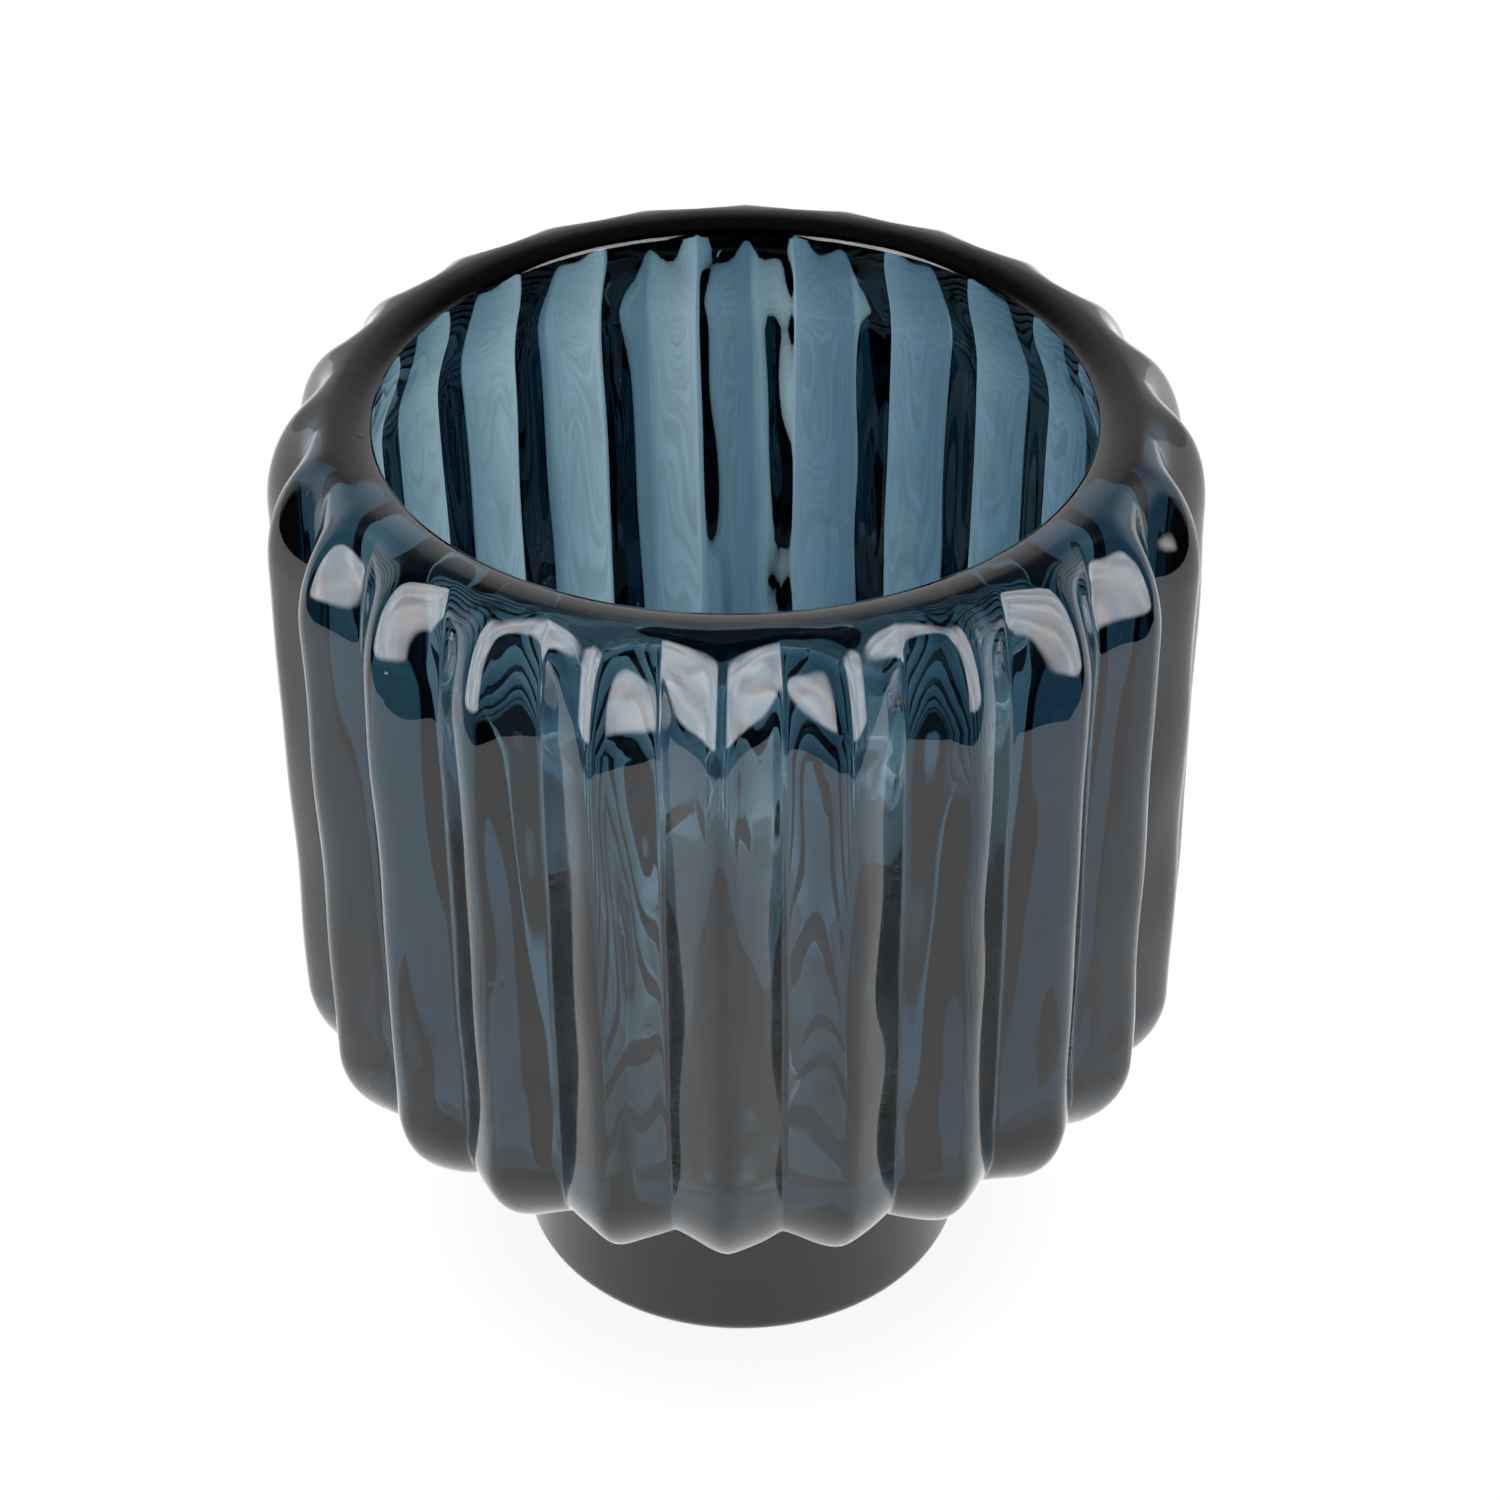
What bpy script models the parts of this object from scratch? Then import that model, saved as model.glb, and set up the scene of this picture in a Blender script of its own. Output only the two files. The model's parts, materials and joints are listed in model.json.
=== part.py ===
"""A footed vase of smoky blue glass: a wide bowl with moulded ribs, bonded to a smooth round foot.

Lengths are in metres and +Z is up. The origin is the centre of the foot's underside, and a rib crest
faces -Y. Every profile below is a list of (radius, height) points in the half-plane through the axis.
"""

import math

import bmesh
import bpy

MM = 0.001

# Overall size
HEIGHT = 100.6 * MM
CREST_RADIUS = 45.4 * MM
SHOULDER_RADIUS = 45.3 * MM
MOUTH_RADIUS = 34.3 * MM
FOOT_RADIUS = 23.6 * MM
FOOT_HEIGHT = 22.0 * MM

# Ribs: crest to crest they share the circle evenly, and they fade out on the rim and at the neck
RIBS = 24
STEPS_PER_RIB = 6
RIB_DEPTH = 3.5 * MM
RIB_DEPTH_UNDER = 1.8 * MM
RIM_FADE_START = 38.2 * MM

# Bowl profile
LIP_WIDTH = 3.6 * MM
LIP_DROP = 1.2 * MM
SHOULDER_WIDTH = SHOULDER_RADIUS - MOUTH_RADIUS - LIP_WIDTH
SHOULDER_DROP = 11.9 * MM
CORNER_HEIGHT = 38.0 * MM
CORNER_RADIUS = 11.8 * MM
UNDERSIDE_SLOPE = math.radians(16)
NECK_RADIUS = 23.5 * MM
INNER_WALL_RADIUS = 38.0 * MM
OVERHANG = 15.0 * MM
INNER_BASE_RADIUS = 35.5 * MM
INNER_CORNER_RADIUS = 9.0 * MM
FLOOR_HEIGHT = 28.0 * MM

# Spigot joint: the bond is a thin cup that stays clear of the glass on both sides
BOND_THICKNESS = 0.4 * MM
CLEARANCE = 0.3 * MM
JOINT_GAP = BOND_THICKNESS + 2 * CLEARANCE
SPIGOT_RADIUS = 14.0 * MM
SPIGOT_LENGTH = 9.0 * MM
SEAT_HEIGHT = FOOT_HEIGHT + JOINT_GAP
SPIGOT_BASE = SEAT_HEIGHT - SPIGOT_LENGTH
BOND_RADIUS = 21.0 * MM

# Foot profile
FOOT_TOP_RADIUS = 22.5 * MM
FOOT_BASE_EDGE = 1.8 * MM
FOOT_TOP_EDGE = 0.8 * MM
REST_RING_INNER = 18.0 * MM
RECESS_DEPTH = 2.0 * MM
FOOT_STEPS = 72

GLASS_COLOUR = (0.14, 0.24, 0.30, 1.0)
BOND_COLOUR = (0.80, 0.84, 0.85, 1.0)
GLASS_IOR = 1.5
SMOOTH_ANGLE = math.radians(35)
MERGE = 1e-6


def clear_scene():
    for thing in list(bpy.data.objects):
        bpy.data.objects.remove(thing, do_unlink=True)


def make_glass(name, colour, roughness):
    material = bpy.data.materials.new(name)
    material.use_nodes = True
    shader = material.node_tree.nodes["Principled BSDF"]
    shader.inputs["Base Color"].default_value = colour
    shader.inputs["Roughness"].default_value = roughness
    shader.inputs["Metallic"].default_value = 0.0
    shader.inputs["Transmission Weight"].default_value = 1.0
    shader.inputs["IOR"].default_value = GLASS_IOR
    material.diffuse_color = colour
    return material


def add_object(name, mesh, material, collection):
    mesh.materials.append(material)
    thing = bpy.data.objects.new(name, mesh)
    collection.objects.link(thing)
    return thing


def smooth(mesh):
    mesh.shade_smooth()
    mesh.set_sharp_from_angle(angle=SMOOTH_ANGLE)


def ramp(value, low, high):
    """0 below low, 1 above high, with a smooth rise between."""
    share = min(max((value - low) / (high - low), 0.0), 1.0)
    return share * share * (3 - 2 * share)


def arc(centre, radii, start, end, steps):
    """Points on an ellipse's arc, from the start angle to the end angle in degrees."""
    points = []
    for step in range(steps + 1):
        angle = math.radians(start + (end - start) * step / steps)
        points.append((centre[0] + radii[0] * math.cos(angle), centre[1] + radii[1] * math.sin(angle)))
    return points


def bowl_outer_profile():
    """From the lip's highest line down over the shoulder, wall, lower corner and underside to the seat."""
    shoulder_centre = (SHOULDER_RADIUS - SHOULDER_WIDTH, HEIGHT - SHOULDER_DROP)
    shoulder = arc(shoulder_centre, (SHOULDER_WIDTH, SHOULDER_DROP), 90, 0, 6)
    mid_wall = ((SHOULDER_RADIUS + CREST_RADIUS) / 2, (shoulder_centre[1] + CORNER_HEIGHT) / 2)
    corner_centre = (CREST_RADIUS - CORNER_RADIUS, CORNER_HEIGHT)
    corner_end = math.degrees(UNDERSIDE_SLOPE) - 90
    corner = arc(corner_centre, (CORNER_RADIUS, CORNER_RADIUS), 0, corner_end, 4)
    return shoulder + [mid_wall] + corner + [(NECK_RADIUS, SEAT_HEIGHT)]


def bowl_inner_profile():
    """From the floor's edge up the smooth inside wall, in under the overhanging lip and over its edge."""
    centre = (INNER_BASE_RADIUS - INNER_CORNER_RADIUS, FLOOR_HEIGHT + INNER_CORNER_RADIUS)
    corner = arc(centre, (INNER_CORNER_RADIUS, INNER_CORNER_RADIUS), -90, 0, 3)
    lip_bottom = HEIGHT - LIP_DROP
    closing = []
    for share in (0.0, 0.35, 0.65):
        radius = INNER_WALL_RADIUS - (INNER_WALL_RADIUS - MOUTH_RADIUS) * ramp(share, 0.0, 1.0)
        closing.append((radius, lip_bottom - OVERHANG * (1 - share)))
    lip = arc((MOUTH_RADIUS + LIP_WIDTH, lip_bottom), (LIP_WIDTH, LIP_DROP), 180, 90, 4)
    return corner + closing + lip[:-1]


def bowl_profile():
    inner = [(0.0, FLOOR_HEIGHT)] + bowl_inner_profile()
    spigot = [(SPIGOT_RADIUS, SEAT_HEIGHT), (SPIGOT_RADIUS, SPIGOT_BASE), (0.0, SPIGOT_BASE)]
    return inner + bowl_outer_profile() + spigot


def rib_offset(radius, height):
    """How deep the valleys are at a point of the outer skin, and which way they sink in."""
    shoulder_height = HEIGHT - SHOULDER_DROP
    if height >= shoulder_height:
        depth = RIB_DEPTH * ramp(radius, RIM_FADE_START, SHOULDER_RADIUS)
        centre = (SHOULDER_RADIUS - SHOULDER_WIDTH, shoulder_height)
        inward = (
            (centre[0] - radius) / SHOULDER_WIDTH**2,
            (centre[1] - height) / SHOULDER_DROP**2,
        )
    elif height >= CORNER_HEIGHT:
        depth, inward = RIB_DEPTH, (-1.0, 0.0)
    else:
        centre = (CREST_RADIUS - CORNER_RADIUS, CORNER_HEIGHT)
        turned = (CORNER_HEIGHT - height) / CORNER_RADIUS
        depth = RIB_DEPTH + (RIB_DEPTH_UNDER - RIB_DEPTH) * min(turned, 1.0)
        depth *= ramp(radius, NECK_RADIUS, centre[0])
        inward = (centre[0] - radius, centre[1] - height)
    length = math.hypot(*inward)
    return depth, (inward[0] / length, inward[1] / length)


def press_ribs(mesh_data):
    """Sinks the valleys between the ribs into the outer skin of a turned bowl."""
    for vertex in mesh_data.verts:
        radius, height = math.hypot(vertex.co.x, vertex.co.y), vertex.co.z
        on_wall = radius > RIM_FADE_START
        on_underside = radius > NECK_RADIUS + MERGE and height < FLOOR_HEIGHT - MERGE
        if not (on_wall or on_underside):
            continue
        around = math.atan2(vertex.co.x, -vertex.co.y)
        sink = 1 - abs(math.cos(RIBS * around / 2))
        depth, inward = rib_offset(radius, height)
        new_radius = radius + inward[0] * depth * sink
        vertex.co.x *= new_radius / radius
        vertex.co.y *= new_radius / radius
        vertex.co.z += inward[1] * depth * sink


def make_bowl(collection, material):
    """Turns the bowl's profile round the axis, then presses the ribs into it."""
    shape = bmesh.new()
    corners = [shape.verts.new((0.0, -radius, height)) for radius, height in bowl_profile()]
    edges = [shape.edges.new(pair) for pair in zip(corners, corners[1:])]
    bmesh.ops.spin(
        shape,
        geom=corners + edges,
        cent=(0, 0, 0),
        axis=(0, 0, 1),
        angle=2 * math.pi,
        steps=RIBS * STEPS_PER_RIB,
        use_merge=True,
    )
    bmesh.ops.remove_doubles(shape, verts=shape.verts, dist=MERGE)
    press_ribs(shape)
    bmesh.ops.recalc_face_normals(shape, faces=shape.faces)
    mesh = bpy.data.meshes.new("ribbed_bowl")
    shape.to_mesh(mesh)
    shape.free()
    smooth(mesh)
    return add_object("ribbed_bowl", mesh, material, collection)


def make_turned(name, profile, collection, material):
    """A solid of revolution. The profile runs from the axis, down the outer side and back to the axis."""
    mesh = bpy.data.meshes.new(name)
    points = [(radius, 0.0, height) for radius, height in profile]
    mesh.from_pydata(points, [(i, i + 1) for i in range(len(points) - 1)], [])
    thing = add_object(name, mesh, material, collection)
    screw = thing.modifiers.new("Turn", "SCREW")
    screw.steps = screw.render_steps = FOOT_STEPS
    screw.use_merge_vertices = True
    screw.merge_threshold = MERGE
    screw.use_smooth_shade = True
    return thing


def make_foot(collection, material):
    """A short drum that widens a little downwards, with a socket on top and a recess underneath."""
    socket_radius = SPIGOT_RADIUS + JOINT_GAP
    socket_floor = SPIGOT_BASE - JOINT_GAP
    top_edge = arc(
        (FOOT_TOP_RADIUS - FOOT_TOP_EDGE, FOOT_HEIGHT - FOOT_TOP_EDGE),
        (FOOT_TOP_EDGE, FOOT_TOP_EDGE),
        90,
        0,
        2,
    )
    base_edge = arc(
        (FOOT_RADIUS - FOOT_BASE_EDGE, FOOT_BASE_EDGE), (FOOT_BASE_EDGE, FOOT_BASE_EDGE), 0, -90, 3
    )
    recess = []
    for share in (1.0, 0.75, 0.5, 0.25, 0.0):
        recess.append((REST_RING_INNER * share, RECESS_DEPTH * (1 - share**2)))
    profile = [(0.0, socket_floor), (socket_radius, socket_floor), (socket_radius, FOOT_HEIGHT)]
    profile += top_edge + base_edge + recess
    return make_turned("foot", profile, collection, material)


def make_bond(collection, material):
    """The thin cup and flange of clear bond between the bowl's spigot and the foot's socket."""
    inner_radius = SPIGOT_RADIUS + CLEARANCE
    outer_radius = inner_radius + BOND_THICKNESS
    cup_top = SPIGOT_BASE - CLEARANCE
    flange_top = SEAT_HEIGHT - CLEARANCE
    profile = [
        (0.0, cup_top),
        (inner_radius, cup_top),
        (inner_radius, flange_top),
        (BOND_RADIUS, flange_top),
        (BOND_RADIUS, flange_top - BOND_THICKNESS),
        (outer_radius, flange_top - BOND_THICKNESS),
        (outer_radius, cup_top - BOND_THICKNESS),
        (0.0, cup_top - BOND_THICKNESS),
    ]
    return make_turned("bond_layer", profile, collection, material)


def main():
    clear_scene()
    collection = bpy.data.collections.new("ribbed_glass_vase")
    bpy.context.scene.collection.children.link(collection)
    glass = make_glass("smoky_blue_glass", GLASS_COLOUR, 0.03)
    bond = make_glass("clear_bond", BOND_COLOUR, 0.1)
    make_bowl(collection, glass)
    make_foot(collection, glass)
    make_bond(collection, bond)


main()
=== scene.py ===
"""Looks of a footed, ribbed vase in smoky blue glass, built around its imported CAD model.

Lengths are in metres. Profiles are arrays of radius and height in the half-plane through the axis, and
the angle round the axis is 0 at -Y and grows towards +X.
"""

import json
import math

import bpy
import numpy as np
from mathutils import Matrix, Vector


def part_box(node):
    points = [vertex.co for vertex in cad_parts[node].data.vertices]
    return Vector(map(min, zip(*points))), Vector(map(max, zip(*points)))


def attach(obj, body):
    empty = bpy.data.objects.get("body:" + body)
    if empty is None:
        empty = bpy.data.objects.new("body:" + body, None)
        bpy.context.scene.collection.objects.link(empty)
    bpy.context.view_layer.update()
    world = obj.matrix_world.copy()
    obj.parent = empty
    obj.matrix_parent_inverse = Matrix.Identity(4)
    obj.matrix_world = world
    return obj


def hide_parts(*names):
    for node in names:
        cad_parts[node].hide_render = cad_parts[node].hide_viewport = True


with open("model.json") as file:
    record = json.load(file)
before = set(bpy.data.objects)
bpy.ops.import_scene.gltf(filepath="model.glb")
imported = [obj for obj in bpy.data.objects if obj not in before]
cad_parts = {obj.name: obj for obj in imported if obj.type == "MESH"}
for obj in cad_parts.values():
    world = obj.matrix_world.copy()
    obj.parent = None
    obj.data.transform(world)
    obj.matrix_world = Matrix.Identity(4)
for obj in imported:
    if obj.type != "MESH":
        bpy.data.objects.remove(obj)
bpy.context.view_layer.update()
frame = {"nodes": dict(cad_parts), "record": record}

MM = 0.001
NEAR_RIM = 0.95

# Sizes read from the CAD model
BOWL_LOW, BOWL_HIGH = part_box("ribbed_bowl")
FOOT_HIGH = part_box("foot")[1]
BOND_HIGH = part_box("bond_layer")[1]


def cad_mouth_radius():
    """The smallest radius of the CAD bowl's vertices near the rim."""
    points = np.array([vertex.co for vertex in frame["nodes"]["ribbed_bowl"].data.vertices])
    near_rim = points[:, 2] > NEAR_RIM * BOWL_HIGH.z
    return np.hypot(points[near_rim, 0], points[near_rim, 1]).min()


mounts = {mount["name"]: mount["pos_m"] for mount in frame["record"]["mounts"]}
HEIGHT = BOWL_HIGH.z
CREST_RADIUS = BOWL_HIGH.x
MOUTH_RADIUS = cad_mouth_radius()
FLOOR_HEIGHT = mounts["inside_floor"][2]
SPIGOT_BASE = BOWL_LOW.z
FOOT_RADIUS = FOOT_HIGH.x
JOINT_HEIGHT = (FOOT_HIGH.z + BOND_HIGH.z) / 2

# Ribs
RIBS = 24
RIB_DEPTH = 0.072 * CREST_RADIUS
RIB_DEPTH_UNDER = 0.038 * CREST_RADIUS
RIM_FADE_START = 0.84 * CREST_RADIUS
CREST_ROUNDING = 0.16
VALLEY_ROUNDING = 0.03

# Bowl profile
LIP_WIDTH = 3.6 * MM
LIP_DROP = 1.2 * MM
SHOULDER_RADIUS = 0.998 * CREST_RADIUS
SHOULDER_WIDTH = SHOULDER_RADIUS - MOUTH_RADIUS - LIP_WIDTH
SHOULDER_DROP = 0.262 * CREST_RADIUS
CORNER_HEIGHT = 0.836 * CREST_RADIUS
CORNER_RADIUS = 0.26 * CREST_RADIUS
UNDERSIDE_SLOPE = math.radians(16)
INNER_BASE_RADIUS = 35.5 * MM
INNER_WALL_RADIUS = 38.0 * MM
INNER_CORNER_RADIUS = 9 * MM
OVERHANG = 12 * MM
SPIGOT_RADIUS = 14 * MM

# Foot profile
FOOT_TOP_RADIUS = 0.953 * FOOT_RADIUS
FOOT_EDGE = 1.8 * MM
FOOT_EDGE_START = 3
REST_RING_INNER = 0.76 * FOOT_RADIUS
RECESS_DEPTH = 2 * MM
BOND_GAP = 0.12 * MM
BOND_FILM = 0.04 * MM
BOND_SETBACK = 0.5 * MM

# Unevenness of the surfaces: waves per turn are between the two turns, and drift is their lean in
# radians per metre of height. The inner waves die out over the calm bands.
OUTER_WAVES = {"seed": 5, "parts": 9, "amplitude": 0.15 * MM, "turns": (3, 60), "drift": 200.0}
INNER_WAVES = {"seed": 11, "parts": 14, "amplitude": 0.08 * MM, "turns": (6, 70), "drift": 150.0}
FLOOR_CALM = 2 * MM
LIP_CALM = 4 * MM

# Mesh density: steps round the axis, and steps along each stretch of the profiles
STEPS_PER_RIB = 24
AROUND = RIBS * STEPS_PER_RIB
VALLEY_CROWDING = 0.6
LIP_STEPS = 16
SHOULDER_STEPS = 32
WALL_STEPS = 20
CORNER_STEPS = 22
UNDERSIDE_STEPS = 8
INNER_FLOOR_STEPS = 4
INNER_CORNER_STEPS = 12
INNER_WALL_POINTS = 46
FOOT_SIDE_STEPS = 10
FOOT_EDGE_STEPS = 12
RECESS_POINTS = 15
SHARP_ANGLE = math.radians(50)

# Glass: it absorbs red most, and its surface has mould streaks, seeds and scratches on the rim
GLASS_IOR = 1.5
ABSORPTION = (170.0, 124.0, 107.0)
STREAKS_PER_METRE = (700.0, 700.0, 18.0)
STREAK_HEIGHT = 0.005 * MM
SEEDS_PER_METRE = 180.0
SEED_HEIGHT = 0.02 * MM
SEED_CORE = 0.03
SEED_EDGE = 0.09
SCRATCHES_PER_RADIAN = 220
SCRATCH_DETAIL = 3.0
SCRATCH_FROM = 0.66
SCRATCH_TO = 0.7
SCRATCH_LOWEST = HEIGHT - 3 * MM
SCRATCH_FULL = HEIGHT - 1 * MM
SCRATCH_ROUGHNESS = 0.35

# Colours and noise values that several materials share
WHITE = (1.0, 1.0, 1.0, 1.0)
BLACK = (0.0, 0.0, 0.0, 1.0)
NOISE_LOW = 0.3
NOISE_HIGH = 0.7

# Floor: how bright it is to the eye and in reflections, and where it ends in reflections
FLOOR_SIZE = 6.0
FLOOR_GAP = 0.05 * MM
FLOOR_GLOW = 1.05
REFLECTED_GLOW = 1.3
FLOOR_EDGE = 0.19
FLOOR_EDGE_SLANT = -0.4
CONTACT_SHADOW = 0.88
SHADOW_INNER = 0.85 * FOOT_RADIUS
SHADOW_OUTER = 2.0 * FOOT_RADIUS

# Floor as the glass sees it: a painted shadow of the vase near the foot, painted darkness in front of the
# foot for the dark room there, painted shade on the right that is also bluer, faintly grained
SHADE_INNER = 0.068
SHADE_OUTER = 0.077
SHADE_DEPTH = 0.42
FRONT_FROM = -0.064
FRONT_TO = -0.056
FRONT_DEPTH = 0.08
SIDE_FROM = -0.06
SIDE_TO = -0.01
# Painted light: the floor as the glass sees it is lit on the left and in bluer painted shade on the right
LIT_LEFT_TINT = (0.66, 0.77, 0.82, 1.0)
SHADED_RIGHT_TINT = (0.35, 0.48, 0.585, 1.0)
GRAINS_PER_METRE = (400.0, 40.0, 1.0)
GRAIN_DETAIL = 2.0
GRAIN_DARKEST = 0.8

# Surround as reflections see it: a pale wall behind and a dark room in front and above
SKY_BACK = 1.05
SKY_DARK = 0.03
SKY_WALL_EDGE = 0.25
SKY_TOP_FROM = 0.33
SKY_TOP_TO = 0.76
SKY_TOP = 0.08

# Soft lamps: name, azimuth in degrees and radiance of each, then what they share
SOFTBOXES = (("softbox_left", -47, 9.2), ("softbox_right", 47, 8.4))
SOFTBOX_DISTANCE = 0.5
SOFTBOX_SIZE = (0.49, 1.1)
SOFTBOX_BOTTOM = -0.04
SOFTBOX_SIDE_FADE = 0.1
SOFTBOX_FOOT_FADE = 0.03
SOFTBOX_HEAD_FADE = 0.4
SOFTBOX_DIMMEST = 0.65
SOFTBOX_BRIGHTEST = 1.15
SOFTBOX_CLOUDS = 5.0
WARMTH_LOW = 0.4
WARMTH_HIGH = 0.65
SOFTBOX_COOL = (0.92, 0.95, 1.0, 1.0)
SOFTBOX_WARM = (1.0, 0.95, 0.95, 1.0)

# Camera, placed from the vase's own size
LENS = 87.7
SENSOR = 36.0
VIEW_TURN = math.radians(1.75)
VIEW_ELEVATION = math.radians(36.46)
VIEW_DISTANCE = 8.144 * CREST_RADIUS
VIEW_HEIGHT = 1.3108 * CREST_RADIUS
VIEW_SIDE = 0.0258 * CREST_RADIUS
VIEW_ROLL = -0.0074
VIEW_CLIP = (0.01, 20.0)


def ramp(value, low, high):
    """0 below low, 1 above high, with a smooth rise between, for numbers or arrays."""
    share = np.clip((value - low) / (high - low), 0.0, 1.0)
    return share * share * (3 - 2 * share)


def arc(centre, radii, start, end, steps):
    """Points on an ellipse's arc, from the start angle to the end angle in degrees."""
    angle = np.radians(np.linspace(start, end, steps + 1))
    return np.stack([centre[0] + radii[0] * np.cos(angle), centre[1] + radii[1] * np.sin(angle)], 1)


def line(start, end, steps):
    """Points from start to end, leaving out both."""
    share = np.linspace(0, 1, steps + 2)[1:-1, None]
    return np.array(start) * (1 - share) + np.array(end) * share


def outward(profile):
    """Unit normals of a profile that runs down the outer side, pointing out of the solid."""
    along = np.gradient(profile, axis=0)
    along /= np.linalg.norm(along, axis=1)[:, None]
    return np.stack([-along[:, 1], along[:, 0]], 1)


def lip_profile():
    """The rounded inner half of the rim, from the inside wall up to its highest line."""
    centre = (MOUTH_RADIUS + LIP_WIDTH, HEIGHT - LIP_DROP)
    return arc(centre, (LIP_WIDTH, LIP_DROP), 180, 90, LIP_STEPS)


def bowl_outer_profile():
    """From the rim's highest line over the shoulder, wall, lower corner and underside to the foot."""
    shoulder_centre = (SHOULDER_RADIUS - SHOULDER_WIDTH, HEIGHT - SHOULDER_DROP)
    shoulder = arc(shoulder_centre, (SHOULDER_WIDTH, SHOULDER_DROP), 90, 0, SHOULDER_STEPS)
    corner_centre = (CREST_RADIUS - CORNER_RADIUS, CORNER_HEIGHT)
    corner_end = math.degrees(UNDERSIDE_SLOPE) - 90
    corner = arc(corner_centre, (CORNER_RADIUS, CORNER_RADIUS), 0, corner_end, CORNER_STEPS)
    neck = (FOOT_TOP_RADIUS, JOINT_HEIGHT)
    return np.concatenate(
        [
            shoulder,
            line(shoulder[-1], corner[0], WALL_STEPS),
            corner,
            line(corner[-1], neck, UNDERSIDE_STEPS),
            [neck],
        ]
    )


def rib_depth(profile):
    """How deep the valleys are at each point of the outer profile."""
    radius, height = profile[:, 0], profile[:, 1]
    on_shoulder = ramp(radius, RIM_FADE_START, SHOULDER_RADIUS)
    turned = np.clip((CORNER_HEIGHT - height) / CORNER_RADIUS, 0, 1)
    under = RIB_DEPTH + (RIB_DEPTH_UNDER - RIB_DEPTH) * turned
    under *= ramp(radius, FOOT_TOP_RADIUS, CREST_RADIUS - CORNER_RADIUS)
    depth = np.where(height > HEIGHT - SHOULDER_DROP, RIB_DEPTH * on_shoulder, RIB_DEPTH)
    return np.where(height < CORNER_HEIGHT, under, depth)


def rib_section(angle):
    """0 on a crest, 1 in a valley: flat flanks, a rounded crest and a tighter valley."""
    across = np.abs((angle * RIBS / (2 * np.pi) + 0.5) % 1.0 - 0.5) * 2

    def raw(share):
        crest = np.sqrt(share**2 + CREST_ROUNDING**2)
        valley = np.sqrt((1 - share) ** 2 + VALLEY_ROUNDING**2)
        return crest - valley + 1 - share

    return (raw(across) - raw(0.0)) / (raw(1.0) - raw(0.0))


def angles():
    """The mesh's angles round the axis, closest together in the valleys."""
    turn = np.linspace(0, 2 * np.pi, AROUND, endpoint=False)
    return turn + VALLEY_CROWDING * np.sin(turn * RIBS) / RIBS


def turned_rings(profile):
    """The profile turned round the axis, as an array of rings of points."""
    angle = angles()
    radius, height = profile[:, :1], profile[:, 1:]
    return np.stack(
        [radius * np.sin(angle), -radius * np.cos(angle), np.repeat(height, AROUND, 1)], 2
    )


def waves(angle, height, seed, parts, amplitude, turns, drift):
    """A smooth, repeatable unevenness round and up the wall."""
    random = np.random.default_rng(seed)
    total = np.zeros((len(height), len(angle)))
    for _ in range(parts):
        count = random.integers(turns[0], turns[1])
        lean = random.normal(0, drift)
        phase, strength = random.uniform(0, 2 * np.pi), random.normal(0, 1)
        total += strength * np.sin(count * angle[None] + lean * height[:, None] + phase)
    return amplitude * total / math.sqrt(parts)


def ribbed_rings(profile):
    """The outer profile turned round the axis with the ribs raised on it."""
    angle = angles()
    normal, depth = outward(profile), rib_depth(profile)
    sink = depth[:, None] * rib_section(angle)[None]
    strength = (depth / RIB_DEPTH)[:, None]
    sink += strength * waves(angle, profile[:, 1], **OUTER_WAVES)
    radius = profile[:, :1] - normal[:, :1] * sink
    height = profile[:, 1:] - normal[:, 1:] * sink
    return np.stack([radius * np.sin(angle), -radius * np.cos(angle), height], 2)


def bowl_inner_profile():
    """From the axis over the floor, up the inside wall and over the lip to the rim's highest line."""
    centre = (INNER_BASE_RADIUS - INNER_CORNER_RADIUS, FLOOR_HEIGHT + INNER_CORNER_RADIUS)
    corner = arc(centre, (INNER_CORNER_RADIUS, INNER_CORNER_RADIUS), -90, 0, INNER_CORNER_STEPS)
    lip = lip_profile()
    height = np.linspace(corner[-1, 1], lip[0, 1], INNER_WALL_POINTS)[1:-1]
    draft = (height - height[0]) / (height[-1] - height[0])
    radius = INNER_BASE_RADIUS + (INNER_WALL_RADIUS - INNER_BASE_RADIUS) * draft
    closing = ramp(height, lip[0, 1] - OVERHANG, lip[0, 1])
    radius += (MOUTH_RADIUS - radius) * closing
    wall = np.stack([radius, height], 1)
    middle = (0.0, FLOOR_HEIGHT)
    floor = line(middle, corner[0], INNER_FLOOR_STEPS)
    return np.concatenate([[middle], floor, corner, wall, lip])


def inner_rings(profile):
    """The inner profile turned round the axis, with faint ripples on the wall."""
    angle = angles()
    lip_height = HEIGHT - LIP_DROP
    wall = ramp(profile[:, 1], FLOOR_HEIGHT + FLOOR_CALM, FLOOR_HEIGHT + INNER_CORNER_RADIUS)
    wall *= ramp(-profile[:, 1], -lip_height, LIP_CALM - lip_height)
    ripple = wall[:, None] * waves(angle, profile[:, 1], **INNER_WAVES)
    radius = profile[:, :1] + ripple
    height = np.repeat(profile[:, 1:], AROUND, 1)
    return np.stack([radius * np.sin(angle), -radius * np.cos(angle), height], 2)


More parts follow.
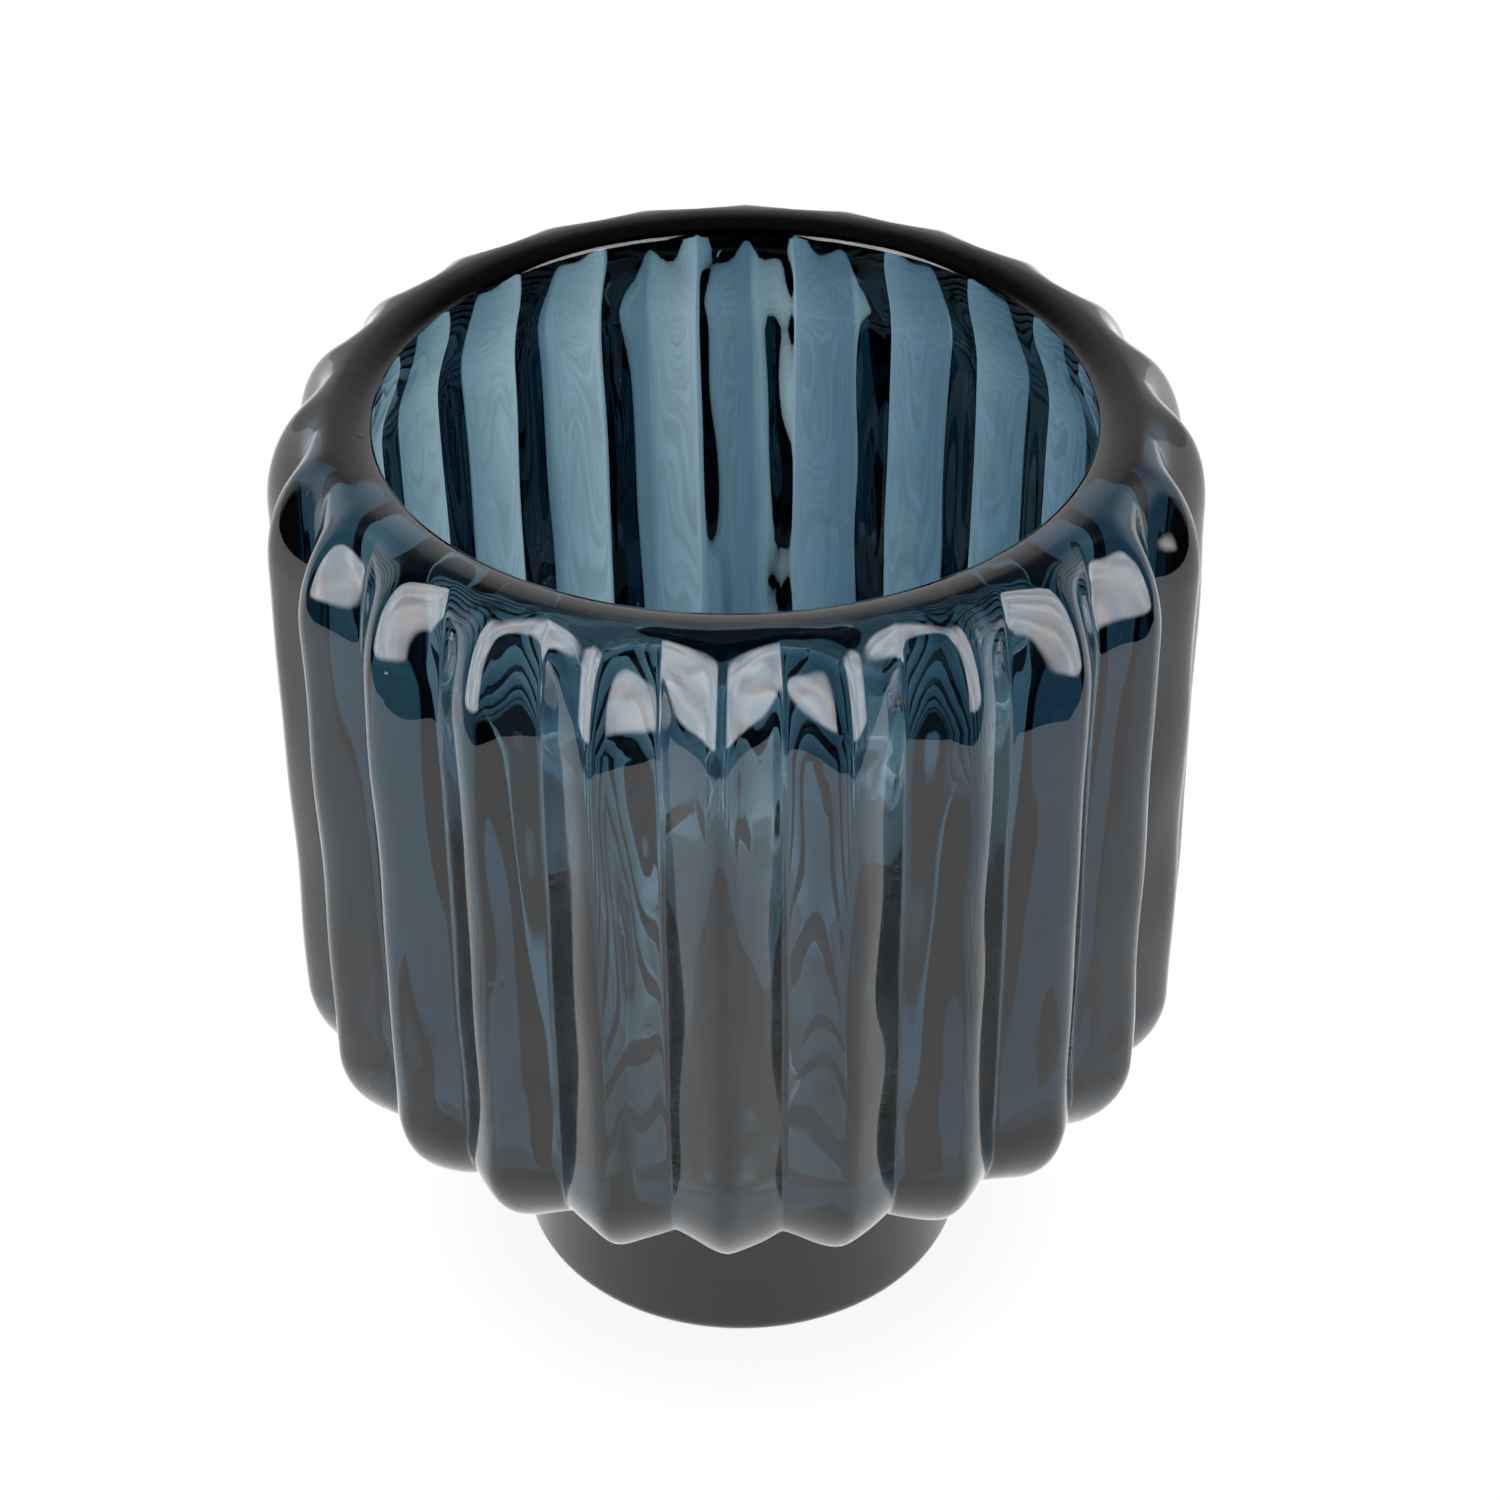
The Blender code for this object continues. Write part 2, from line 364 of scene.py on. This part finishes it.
def mesh_from_rings(name, rings, bonded):
    """One closed mesh from rings of points. The first and last ring are points on the axis."""
    count = len(rings)
    points = np.concatenate([rings[0][:1], rings[1:-1].reshape(-1, 3), rings[-1][:1]])
    last = len(points) - 1
    here = np.arange(AROUND)
    there = (here + 1) % AROUND
    faces = [(0, 1 + a, 1 + b) for a, b in zip(here, there)]
    flags = [bonded[0]] * AROUND
    for ring in range(count - 3):
        low, high = 1 + ring * AROUND, 1 + (ring + 1) * AROUND
        faces += [(low + a, high + a, high + b, low + b) for a, b in zip(here, there)]
        flags += [bonded[ring + 1]] * AROUND
    base = 1 + (count - 3) * AROUND
    faces += [(base + b, base + a, last) for a, b in zip(here, there)]
    flags += [bonded[count - 2]] * AROUND
    mesh = bpy.data.meshes.new(name)
    mesh.from_pydata(points.tolist(), [], faces)
    mesh.attributes.new("bonded", "FLOAT", "FACE").data.foreach_set("value", np.array(flags, float))
    mesh.shade_smooth()
    mesh.set_sharp_from_angle(angle=SHARP_ANGLE)
    mesh.validate()
    return mesh


def add_piece(name, mesh, material, node):
    """Puts a mesh in the scene as a piece that stands for a CAD node."""
    piece = bpy.data.objects.new(name, mesh)
    bpy.context.scene.collection.objects.link(piece)
    piece.data.materials.append(material)
    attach(piece, "root")
    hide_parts(node)


def joint_profile(offset):
    """The stepped face of the spigot joint, from the neck to the axis, moved down and out by offset."""
    return np.array(
        [
            (SPIGOT_RADIUS + offset, JOINT_HEIGHT - offset),
            (SPIGOT_RADIUS + offset, SPIGOT_BASE - offset),
            (0.0, SPIGOT_BASE - offset),
        ]
    )


def make_bowl(material):
    """The bowl runs from its floor over the rim and down the ribbed wall to the spigot."""
    inner, outer = bowl_inner_profile(), bowl_outer_profile()
    joint = joint_profile(0.0)
    rings = np.concatenate([inner_rings(inner), ribbed_rings(outer), turned_rings(joint)])
    bonded = np.zeros(len(rings) - 1)
    bonded[len(inner) + len(outer) - 1 :] = 1.0
    mesh = mesh_from_rings("ribbed_bowl_glass", rings, bonded)
    add_piece("ribbed_bowl_glass", mesh, material, "ribbed_bowl")


def make_foot(material):
    """The foot runs from its socket over the side and the rounded edge to the recess underneath."""
    top = JOINT_HEIGHT - BOND_GAP
    edge_centre = (FOOT_RADIUS - FOOT_EDGE, FOOT_EDGE)
    edge = arc(edge_centre, (FOOT_EDGE, FOOT_EDGE), FOOT_EDGE_START, -90, FOOT_EDGE_STEPS)
    side = line((FOOT_TOP_RADIUS, top), edge[0], FOOT_SIDE_STEPS)
    recess_radius = np.linspace(REST_RING_INNER, 0.0, RECESS_POINTS)
    recess = np.stack([recess_radius, RECESS_DEPTH * (1 - (recess_radius / REST_RING_INNER) ** 2)], 1)
    joint = joint_profile(BOND_GAP)[::-1]
    profile = np.concatenate([joint, [(FOOT_TOP_RADIUS, top)], side, edge, recess])
    bonded = np.zeros(len(profile) - 1)
    bonded[: len(joint)] = 1.0
    mesh = mesh_from_rings("foot_glass", turned_rings(profile), bonded)
    add_piece("foot_glass", mesh, material, "foot")


def make_bond(material):
    """The film of clear bond, which fills the joint between bowl and foot."""
    above = (BOND_GAP - BOND_FILM) / 2
    rim = FOOT_TOP_RADIUS - BOND_SETBACK
    upper = joint_profile(above)[::-1]
    lower = joint_profile(above + BOND_FILM)
    edge = np.array([(rim, JOINT_HEIGHT - above), (rim, JOINT_HEIGHT - above - BOND_FILM)])
    profile = np.concatenate([upper, edge, lower])
    mesh = mesh_from_rings("bond_film", turned_rings(profile), np.ones(len(profile) - 1))
    add_piece("bond_film", mesh, material, "bond_layer")


def link_or_set(tree, socket, value):
    """Links another node's output to the socket, or sets the socket to a plain value."""
    if isinstance(value, bpy.types.NodeSocket):
        tree.links.new(value, socket)
    else:
        socket.default_value = value


def math_node(tree, operation, *values):
    """The output of a math node on numbers or other nodes' outputs."""
    node = tree.nodes.new("ShaderNodeMath")
    node.operation = operation
    for socket, value in zip(node.inputs, values):
        link_or_set(tree, socket, value)
    return node.outputs[0]


def ramp_node(tree, value, low, high, at_low, at_high):
    """at_low below low, at_high above high, and a smooth change between."""
    node = tree.nodes.new("ShaderNodeMapRange")
    node.interpolation_type = "SMOOTHSTEP"
    names = ("Value", "From Min", "From Max", "To Min", "To Max")
    for name, number in zip(names, (value, low, high, at_low, at_high)):
        link_or_set(tree, node.inputs[name], number)
    return node.outputs[0]


def mix_node(tree, share, first, second):
    """first where share is 0, second where it is 1."""
    rest = math_node(tree, "SUBTRACT", 1.0, share)
    return math_node(tree, "MULTIPLY_ADD", second, share, math_node(tree, "MULTIPLY", first, rest))


def new_material(name):
    """A new material with its node tree and its main shader."""
    material = bpy.data.materials.new(name)
    material.use_nodes = True
    return material, material.node_tree, material.node_tree.nodes["Principled BSDF"]


def noise_node(tree, place, scale, detail):
    """Noise stretched along the directions that the scale makes small."""
    stretch = tree.nodes.new("ShaderNodeVectorMath")
    stretch.operation = "MULTIPLY"
    tree.links.new(place, stretch.inputs[0])
    stretch.inputs[1].default_value = scale
    noise = tree.nodes.new("ShaderNodeTexNoise")
    noise.inputs["Scale"].default_value = 1.0
    noise.inputs["Detail"].default_value = detail
    tree.links.new(stretch.outputs[0], noise.inputs["Vector"])
    return noise.outputs["Fac"]


def surface_relief(tree, place):
    """Heights in metres: fine upright streaks left by the mould, and a few seeds."""
    grooves = noise_node(tree, place, STREAKS_PER_METRE, 0.0)
    streaks = math_node(tree, "MULTIPLY", grooves, STREAK_HEIGHT)
    cells = tree.nodes.new("ShaderNodeTexVoronoi")
    cells.inputs["Scale"].default_value = SEEDS_PER_METRE
    tree.links.new(place, cells.inputs["Vector"])
    seeds = ramp_node(tree, cells.outputs["Distance"], SEED_CORE, SEED_EDGE, SEED_HEIGHT, 0.0)
    return math_node(tree, "ADD", streaks, seeds)


def lip_scratches(tree, place):
    """1 on a few thin radial scratches across the rim, 0 elsewhere."""
    split = tree.nodes.new("ShaderNodeSeparateXYZ")
    tree.links.new(place, split.inputs[0])
    forward = math_node(tree, "MULTIPLY", split.outputs["Y"], -1.0)
    round_axis = math_node(tree, "ARCTAN2", split.outputs["X"], forward)
    along = tree.nodes.new("ShaderNodeCombineXYZ")
    tree.links.new(round_axis, along.inputs[0])
    noise = noise_node(tree, along.outputs[0], (SCRATCHES_PER_RADIAN, 1, 1), SCRATCH_DETAIL)
    thin = ramp_node(tree, noise, SCRATCH_FROM, SCRATCH_TO, 0.0, 1.0)
    on_rim = ramp_node(tree, split.outputs["Z"], SCRATCH_LOWEST, SCRATCH_FULL, 0.0, 1.0)
    return math_node(tree, "MULTIPLY", thin, on_rim)


def glass_material():
    """Clear glass coloured by what it absorbs, so that thick glass is darker. Bonded faces bend nothing."""
    material, tree, shader = new_material("smoky_blue_glass")
    shader.inputs["Base Color"].default_value = WHITE
    shader.inputs["Transmission Weight"].default_value = 1.0
    place = tree.nodes.new("ShaderNodeTexCoord").outputs["Object"]
    bump = tree.nodes.new("ShaderNodeBump")
    bump.inputs["Distance"].default_value = 1.0
    tree.links.new(surface_relief(tree, place), bump.inputs["Height"])
    tree.links.new(bump.outputs["Normal"], shader.inputs["Normal"])
    worn = math_node(tree, "MULTIPLY", lip_scratches(tree, place), SCRATCH_ROUGHNESS)
    tree.links.new(worn, shader.inputs["Roughness"])
    bonded = tree.nodes.new("ShaderNodeAttribute")
    bonded.attribute_name = "bonded"
    bend = tree.nodes.new("ShaderNodeMapRange")
    bend.inputs["To Min"].default_value = GLASS_IOR
    bend.inputs["To Max"].default_value = 1.0
    tree.links.new(bonded.outputs["Fac"], bend.inputs["Value"])
    tree.links.new(bend.outputs["Result"], shader.inputs["IOR"])
    strongest = max(ABSORPTION)
    absorb = tree.nodes.new("ShaderNodeVolumeAbsorption")
    absorb.inputs["Color"].default_value = (*[1 - a / strongest for a in ABSORPTION], 1)
    absorb.inputs["Density"].default_value = strongest
    tree.links.new(absorb.outputs["Volume"], tree.nodes["Material Output"].inputs["Volume"])
    return material


def bond_material():
    """Cured clear adhesive, whose index matches the glass, so that the joint disappears."""
    material, _, shader = new_material("clear_bond")
    shader.inputs["Base Color"].default_value = WHITE
    shader.inputs["Roughness"].default_value = 0.0
    shader.inputs["Transmission Weight"].default_value = 1.0
    shader.inputs["IOR"].default_value = 1.0
    return material


def emitter(tree, colour, strength):
    """A surface that gives off light of the colour."""
    glow = tree.nodes.new("ShaderNodeEmission")
    tree.links.new(colour, glow.inputs["Color"])
    link_or_set(tree, glow.inputs["Strength"], strength)
    return glow.outputs[0]


def mixed_colour(tree, share, first, second):
    """The first colour where share is 0, the second where it is 1."""
    mix = tree.nodes.new("ShaderNodeMix")
    mix.data_type = "RGBA"
    factor, a, b = mix.inputs["Factor"], *[socket for socket in mix.inputs if socket.type == "RGBA"]
    for socket, value in ((factor, share), (a, first), (b, second)):
        link_or_set(tree, socket, value)
    return [socket for socket in mix.outputs if socket.type == "RGBA"][0]


def mixed_shader(tree, share, first, second):
    """The first shader where share is 0, the second where it is 1."""
    pick = tree.nodes.new("ShaderNodeMixShader")
    for socket, value in zip(pick.inputs, (share, first, second)):
        tree.links.new(value, socket)
    return pick.outputs[0]


def seen_directly(tree, path):
    """1 for rays from the camera and rays that have passed through glass, 0 for mirrored ones."""
    return math_node(tree, "MAXIMUM", path["Is Camera Ray"], path["Is Transmission Ray"])


def floor_colour(tree, place, path):
    """White to the eye but for a painted contact shadow round the foot; seen through the glass it has a
    painted shadow near the foot, painted darkness in front and painted shade on the right, which is bluer.
    """
    split = tree.nodes.new("ShaderNodeSeparateXYZ")
    tree.links.new(place, split.inputs[0])
    x, y = split.outputs["X"], split.outputs["Y"]
    squares = math_node(tree, "ADD", math_node(tree, "POWER", x, 2.0), math_node(tree, "POWER", y, 2.0))
    radius = math_node(tree, "SQRT", squares)
    # Painted shadow of the vase on the floor near the foot
    near = ramp_node(tree, radius, SHADE_INNER, SHADE_OUTER, SHADE_DEPTH, 1.0)
    # Painted darkness on the floor in front of the foot, for the dark room in front
    front = ramp_node(tree, y, FRONT_FROM, FRONT_TO, FRONT_DEPTH, 1.0)
    # Painted shade: the right side of the floor is darker and bluer than the lit left side
    side = ramp_node(tree, x, SIDE_FROM, SIDE_TO, 0.0, 1.0)
    side_shading = mixed_colour(tree, side, LIT_LEFT_TINT, SHADED_RIGHT_TINT)
    noise = noise_node(tree, place, GRAINS_PER_METRE, GRAIN_DETAIL)
    grain = ramp_node(tree, noise, NOISE_LOW, NOISE_HIGH, GRAIN_DARKEST, 1.0)
    light = math_node(tree, "MULTIPLY", grain, math_node(tree, "MULTIPLY", near, front))
    dimmed = mixed_colour(tree, light, BLACK, side_shading)
    contact = ramp_node(tree, radius, SHADOW_INNER, SHADOW_OUTER, CONTACT_SHADOW, 1.0)
    mirrored = (REFLECTED_GLOW, REFLECTED_GLOW, REFLECTED_GLOW, 1)
    plain = mixed_colour(tree, path["Is Camera Ray"], mirrored, WHITE)
    shaded = mixed_colour(tree, contact, BLACK, plain)
    return mixed_colour(tree, path["Is Transmission Ray"], shaded, dimmed)


def floor_material():
    """A pale glowing floor. In reflections it ends in front of the vase, as a table does at its edge."""
    material = bpy.data.materials.new("pale_floor")
    material.use_nodes = True
    tree = material.node_tree
    tree.nodes.clear()
    path = tree.nodes.new("ShaderNodeLightPath").outputs
    place = tree.nodes.new("ShaderNodeNewGeometry").outputs["Position"]
    glow = emitter(tree, floor_colour(tree, place, path), FLOOR_GLOW)
    split = tree.nodes.new("ShaderNodeSeparateXYZ")
    tree.links.new(place, split.inputs[0])
    aside = math_node(tree, "ABSOLUTE", split.outputs["X"])
    slant = math_node(tree, "MULTIPLY", aside, FLOOR_EDGE_SLANT)
    ahead = math_node(tree, "ADD", split.outputs["Y"], slant)
    beyond = math_node(tree, "LESS_THAN", ahead, -FLOOR_EDGE)
    mirrored = math_node(tree, "SUBTRACT", 1.0, seen_directly(tree, path))
    hidden = math_node(tree, "MULTIPLY", beyond, mirrored)
    clear = tree.nodes.new("ShaderNodeBsdfTransparent").outputs[0]
    out = tree.nodes.new("ShaderNodeOutputMaterial")
    tree.links.new(mixed_shader(tree, hidden, glow, clear), out.inputs["Surface"])
    return material


def make_floor():
    """The floor sits a hair below the foot, so that light in the foot reflects off its underside."""
    bpy.ops.mesh.primitive_plane_add(size=FLOOR_SIZE, location=(0, 0, -FLOOR_GAP))
    floor = bpy.context.object
    floor.name = "floor"
    floor.data.materials.append(floor_material())


def make_world():
    """White to the eye and through the glass; for reflections a dark room with a pale wall behind."""
    world = bpy.data.worlds.new("studio")
    bpy.context.scene.world = world
    world.use_nodes = True
    tree = world.node_tree
    tree.nodes.clear()
    path = tree.nodes.new("ShaderNodeLightPath").outputs
    where = tree.nodes.new("ShaderNodeTexCoord")
    split = tree.nodes.new("ShaderNodeSeparateXYZ")
    tree.links.new(where.outputs["Generated"], split.inputs[0])
    wall = ramp_node(tree, split.outputs["Y"], 0.0, SKY_WALL_EDGE, SKY_DARK, SKY_BACK)
    top = ramp_node(tree, split.outputs["Z"], SKY_TOP_FROM, SKY_TOP_TO, 1.0, SKY_TOP)
    mirrored = math_node(tree, "MULTIPLY", wall, top)
    strength = mix_node(tree, seen_directly(tree, path), mirrored, 1.0)
    sky = tree.nodes.new("ShaderNodeBackground")
    tree.links.new(strength, sky.inputs["Strength"])
    out = tree.nodes.new("ShaderNodeOutputWorld")
    tree.links.new(sky.outputs[0], out.inputs["Surface"])


def soften(lamp):
    """Lets a lamp's glow fade at its edges and vary a little, as a cloth-covered lamp does."""
    lamp.use_nodes = True
    tree = lamp.node_tree
    glow = tree.nodes["Emission"]
    place = tree.nodes.new("ShaderNodeNewGeometry").outputs["Parametric"]
    split = tree.nodes.new("ShaderNodeSeparateXYZ")
    tree.links.new(place, split.inputs[0])
    u, v = split.outputs["X"], split.outputs["Y"]
    far_u, far_v = [math_node(tree, "SUBTRACT", 1.0, share) for share in (u, v)]
    cloud = tree.nodes.new("ShaderNodeTexNoise")
    cloud.inputs["Scale"].default_value = SOFTBOX_CLOUDS
    tree.links.new(place, cloud.inputs["Vector"])
    fog = cloud.outputs["Fac"]
    strength = ramp_node(tree, fog, NOISE_LOW, NOISE_HIGH, SOFTBOX_DIMMEST, SOFTBOX_BRIGHTEST)
    fades = (SOFTBOX_SIDE_FADE, SOFTBOX_SIDE_FADE, SOFTBOX_FOOT_FADE, SOFTBOX_HEAD_FADE)
    for inward, fade in zip((u, far_u, v, far_v), fades):
        edge = ramp_node(tree, inward, 0.0, fade, 0.0, 1.0)
        strength = math_node(tree, "MULTIPLY", edge, strength)
    tree.links.new(strength, glow.inputs["Strength"])
    warmth = ramp_node(tree, fog, WARMTH_LOW, WARMTH_HIGH, 0.0, 1.0)
    tree.links.new(mixed_colour(tree, warmth, SOFTBOX_COOL, SOFTBOX_WARM), glow.inputs["Color"])


def add_softbox(name, azimuth, radiance):
    """An upright rectangular lamp that faces the axis, seen only in reflections."""
    width, height = SOFTBOX_SIZE
    lamp = bpy.data.lights.new(name, "AREA")
    lamp.shape = "RECTANGLE"
    lamp.size, lamp.size_y = width, height
    lamp.energy = radiance * math.pi * width * height
    soften(lamp)
    holder = bpy.data.objects.new(name, lamp)
    bpy.context.scene.collection.objects.link(holder)
    angle = math.radians(azimuth)
    across, towards = math.sin(angle), -math.cos(angle)
    middle = SOFTBOX_BOTTOM + height / 2
    holder.location = (SOFTBOX_DISTANCE * across, SOFTBOX_DISTANCE * towards, middle)
    holder.rotation_euler = (math.pi / 2, 0, angle)
    holder.visible_camera = False
    holder.visible_transmission = False


def make_lights():
    """One soft lamp to the left of the camera and one to the right."""
    for name, azimuth, radiance in SOFTBOXES:
        add_softbox(name, azimuth, radiance)


def make_camera():
    """A camera above and in front of the vase, turned a little round it and rolled a little."""
    lens = bpy.data.cameras.new("camera")
    lens.lens, lens.sensor_width = LENS, SENSOR
    lens.clip_start, lens.clip_end = VIEW_CLIP
    camera = bpy.data.objects.new("camera", lens)
    bpy.context.scene.collection.objects.link(camera)
    right = Vector((1, 0, 0))
    ahead = Vector((0, math.cos(VIEW_ELEVATION), -math.sin(VIEW_ELEVATION)))
    up = right.cross(ahead)
    rolled_right = math.cos(VIEW_ROLL) * right + math.sin(VIEW_ROLL) * up
    rolled_up = math.cos(VIEW_ROLL) * up - math.sin(VIEW_ROLL) * right
    place = Vector((VIEW_SIDE, 0, VIEW_HEIGHT)) - ahead * VIEW_DISTANCE
    pose = Matrix((rolled_right, rolled_up, -ahead)).transposed().to_4x4()
    pose.translation = place
    camera.matrix_world = Matrix.Rotation(VIEW_TURN, 4, "Z") @ pose
    bpy.context.scene.camera = camera


glass = glass_material()
make_bowl(glass)
make_foot(glass)
make_bond(bond_material())
make_floor()
make_world()
make_lights()
make_camera()

scene = bpy.context.scene
scene.view_settings.view_transform = "Standard"
scene.cycles.caustics_reflective = False
scene.cycles.caustics_refractive = False
